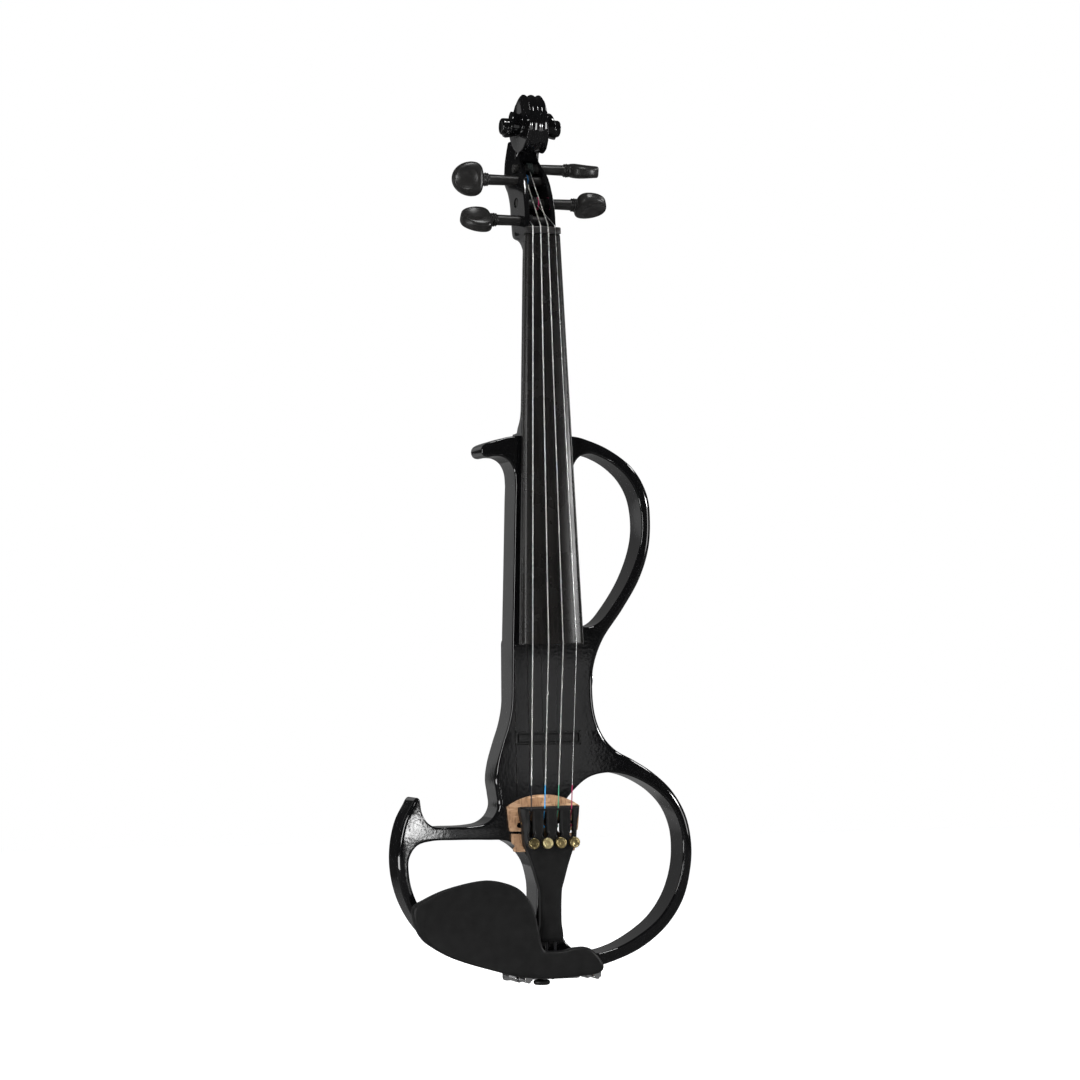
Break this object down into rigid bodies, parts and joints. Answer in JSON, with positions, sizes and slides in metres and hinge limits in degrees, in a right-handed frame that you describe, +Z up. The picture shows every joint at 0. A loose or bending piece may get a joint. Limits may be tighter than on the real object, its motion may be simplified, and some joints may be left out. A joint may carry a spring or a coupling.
{
  "type": "electric violin",
  "caption": "Open-frame electric violin with scroll, pegs, fingerboard, strings, tailpiece with fine tuners, chinrest, pickup, and controls and battery bay in the back.",
  "frame": {"origin": "the place under the scroll, in the middle of the pegbox throat, where a hook or a hand holds the violin up", "axes": "+Z up along the violin towards the scroll, +X to the right seen from the front, +Y away from the viewer towards the back"},
  "size_m": [0.2031, 0.0705, 0.5891],
  "materials": {
    "lacquer": "gloss black lacquer",
    "ebony": "satin ebony",
    "satin_black_wood": "satin black",
    "string_steel": "wound steel",
    "winding_silk": "silk-wrapped string end",
    "maple": "oiled maple",
    "cork": "bare cork",
    "brass": "polished",
    "chrome": "polished",
    "nylon": "matt black",
    "black_plastic": "fine matt grain",
    "steel": "plain steel",
    "board_green": "solder-masked board"
  },
  "bodies": {
    "body": {"body_frame": "lacquer", "neck": "lacquer", "fingerboard": "ebony", "nut": "ebony", "saddle": "ebony", "end_button": "ebony", "tail_gut": "nylon", "tailpiece": "satin_black_wood", "lever_pin": "brass", "string_g": "string_steel", "string_d": "string_steel", "string_a": "string_steel", "string_e": "string_steel", "bridge": "maple", "pickup_bar": "black_plastic", "pickup_lead": "nylon", "chinrest": "satin_black_wood", "chinrest_cork_left": "cork", "chinrest_cork_right": "cork", "clamp_stud_left": "chrome", "clamp_stud_right": "chrome", "control_panel": "black_plastic", "panel_screw_1": "steel", "panel_screw_2": "steel", "panel_screw_3": "steel", "panel_screw_4": "steel", "battery_box": "black_plastic", "battery": "steel", "battery_snap": "black_plastic", "volume_pot": "steel", "tone_pot": "steel", "switch_body": "steel", "output_jack": "chrome", "output_jack_nut": "chrome", "headphone_jack": "black_plastic", "preamp_board": "board_green"},
    "peg_g": {"peg_g": "ebony", "peg_winding_g": "winding_silk"},
    "peg_e": {"peg_e": "ebony", "peg_winding_e": "winding_silk"},
    "peg_d": {"peg_d": "ebony", "peg_winding_d": "winding_silk"},
    "peg_a": {"peg_a": "ebony", "peg_winding_a": "winding_silk"},
    "tuner_screw_g": {"tuner_screw_g": "brass"},
    "tuner_lever_g": {"tuner_lever_g": "steel"},
    "tuner_screw_d": {"tuner_screw_d": "brass"},
    "tuner_lever_d": {"tuner_lever_d": "steel"},
    "tuner_screw_a": {"tuner_screw_a": "brass"},
    "tuner_lever_a": {"tuner_lever_a": "steel"},
    "tuner_screw_e": {"tuner_screw_e": "brass"},
    "tuner_lever_e": {"tuner_lever_e": "steel"},
    "volume_knob": {"volume_knob": "black_plastic"},
    "tone_knob": {"tone_knob": "black_plastic"},
    "switch_slider": {"switch_slider": "black_plastic"},
    "battery_door": {"battery_door": "black_plastic"},
    "clamp_barrel_left": {"clamp_barrel_left": "chrome"},
    "clamp_barrel_right": {"clamp_barrel_right": "chrome"},
    "clamp_bracket": {"clamp_bracket": "chrome", "clamp_cork": "cork"}
  },
  "joints": [
    {"name": "peg_g_turn", "type": "hinge", "parent": "body", "child": "peg_g", "pos_m": [0, -0.0105, -0.04501], "axis": [-1, 0, 0], "continuous": true},
    {"name": "peg_e_turn", "type": "hinge", "parent": "body", "child": "peg_e", "pos_m": [0, -0.0051, -0.03245], "axis": [1, 0, 0], "continuous": true},
    {"name": "peg_d_turn", "type": "hinge", "parent": "body", "child": "peg_d", "pos_m": [0, -0.0021, -0.0172], "axis": [-1, 0, 0], "continuous": true},
    {"name": "peg_a_turn", "type": "hinge", "parent": "body", "child": "peg_a", "pos_m": [0, 0.0021, -0.0084], "axis": [1, 0, 0], "continuous": true},
    {"name": "tuner_screw_g_turn", "type": "hinge", "parent": "body", "child": "tuner_screw_g", "pos_m": [-0.0135, -0.03435, -0.45408], "axis": [0.1219, 0.9925, 0.0017], "range_deg": [0, 1440]},
    {"name": "tuner_lever_g_tilt", "type": "hinge", "parent": "body", "child": "tuner_lever_g", "pos_m": [-0.01488, -0.0331, -0.4412], "axis": [0.9999, 0, 0.014], "range_deg": [0, 9]},
    {"name": "tuner_screw_d_turn", "type": "hinge", "parent": "body", "child": "tuner_screw_d", "pos_m": [-0.0055, -0.03435, -0.45397], "axis": [0, 1, 0], "range_deg": [0, 1440]},
    {"name": "tuner_lever_d_tilt", "type": "hinge", "parent": "body", "child": "tuner_lever_d", "pos_m": [-0.00568, -0.0331, -0.44107], "axis": [0.9999, 0, 0.014], "range_deg": [0, 9]},
    {"name": "tuner_screw_a_turn", "type": "hinge", "parent": "body", "child": "tuner_screw_a", "pos_m": [0.0037, -0.03435, -0.45384], "axis": [0, 1, 0], "range_deg": [0, 1440]},
    {"name": "tuner_lever_a_tilt", "type": "hinge", "parent": "body", "child": "tuner_lever_a", "pos_m": [0.00352, -0.0331, -0.44094], "axis": [0.9999, 0, 0.014], "range_deg": [0, 9]},
    {"name": "tuner_screw_e_turn", "type": "hinge", "parent": "body", "child": "tuner_screw_e", "pos_m": [0.0117, -0.03435, -0.45373], "axis": [-0.1219, 0.9925, -0.0017], "range_deg": [0, 1440]},
    {"name": "tuner_lever_e_tilt", "type": "hinge", "parent": "body", "child": "tuner_lever_e", "pos_m": [0.01272, -0.0331, -0.44082], "axis": [0.9999, 0, 0.014], "range_deg": [0, 9]},
    {"name": "volume_turn", "type": "hinge", "parent": "body", "child": "volume_knob", "pos_m": [-0.0077, 0.0055, -0.3345], "axis": [0, 1, 0], "range_deg": [-150, 150]},
    {"name": "tone_turn", "type": "hinge", "parent": "body", "child": "tone_knob", "pos_m": [-0.0077, 0.0055, -0.3505], "axis": [0, 1, 0], "range_deg": [-150, 150]},
    {"name": "switch_slide", "type": "slide", "parent": "body", "child": "switch_slider", "axis": [1, 0, 0], "range_m": [0, 0.003]},
    {"name": "battery_door_open", "type": "hinge", "parent": "body", "child": "battery_door", "pos_m": [-0.00155, 0.0019, -0.3704], "axis": [1, 0, 0], "range_deg": [0, 95]},
    {"name": "clamp_left_turn", "type": "hinge", "parent": "body", "child": "clamp_barrel_left", "pos_m": [-0.018, -0.0141, -0.5428], "axis": [0, 1, 0], "range_deg": [0, 1200]},
    {"name": "clamp_right_turn", "type": "hinge", "parent": "body", "child": "clamp_barrel_right", "pos_m": [0.029, -0.0141, -0.5415], "axis": [0, 1, 0], "range_deg": [0, 1200]},
    {"name": "clamp_bracket_slide", "type": "slide", "parent": "body", "child": "clamp_bracket", "axis": [0, 1, 0], "range_m": [0, 0.004]}
  ],
  "couplings": [
    {"joint": "tuner_lever_g_tilt", "follows": "tuner_screw_g_turn", "ratio": 0.0061},
    {"joint": "tuner_lever_d_tilt", "follows": "tuner_screw_d_turn", "ratio": 0.0061},
    {"joint": "tuner_lever_a_tilt", "follows": "tuner_screw_a_turn", "ratio": 0.0061},
    {"joint": "tuner_lever_e_tilt", "follows": "tuner_screw_e_turn", "ratio": 0.0061},
    {"joint": "clamp_left_turn", "follows": "clamp_bracket_slide", "rad_per_m": 5235},
    {"joint": "clamp_right_turn", "follows": "clamp_bracket_slide", "rad_per_m": 5235}
  ]
}
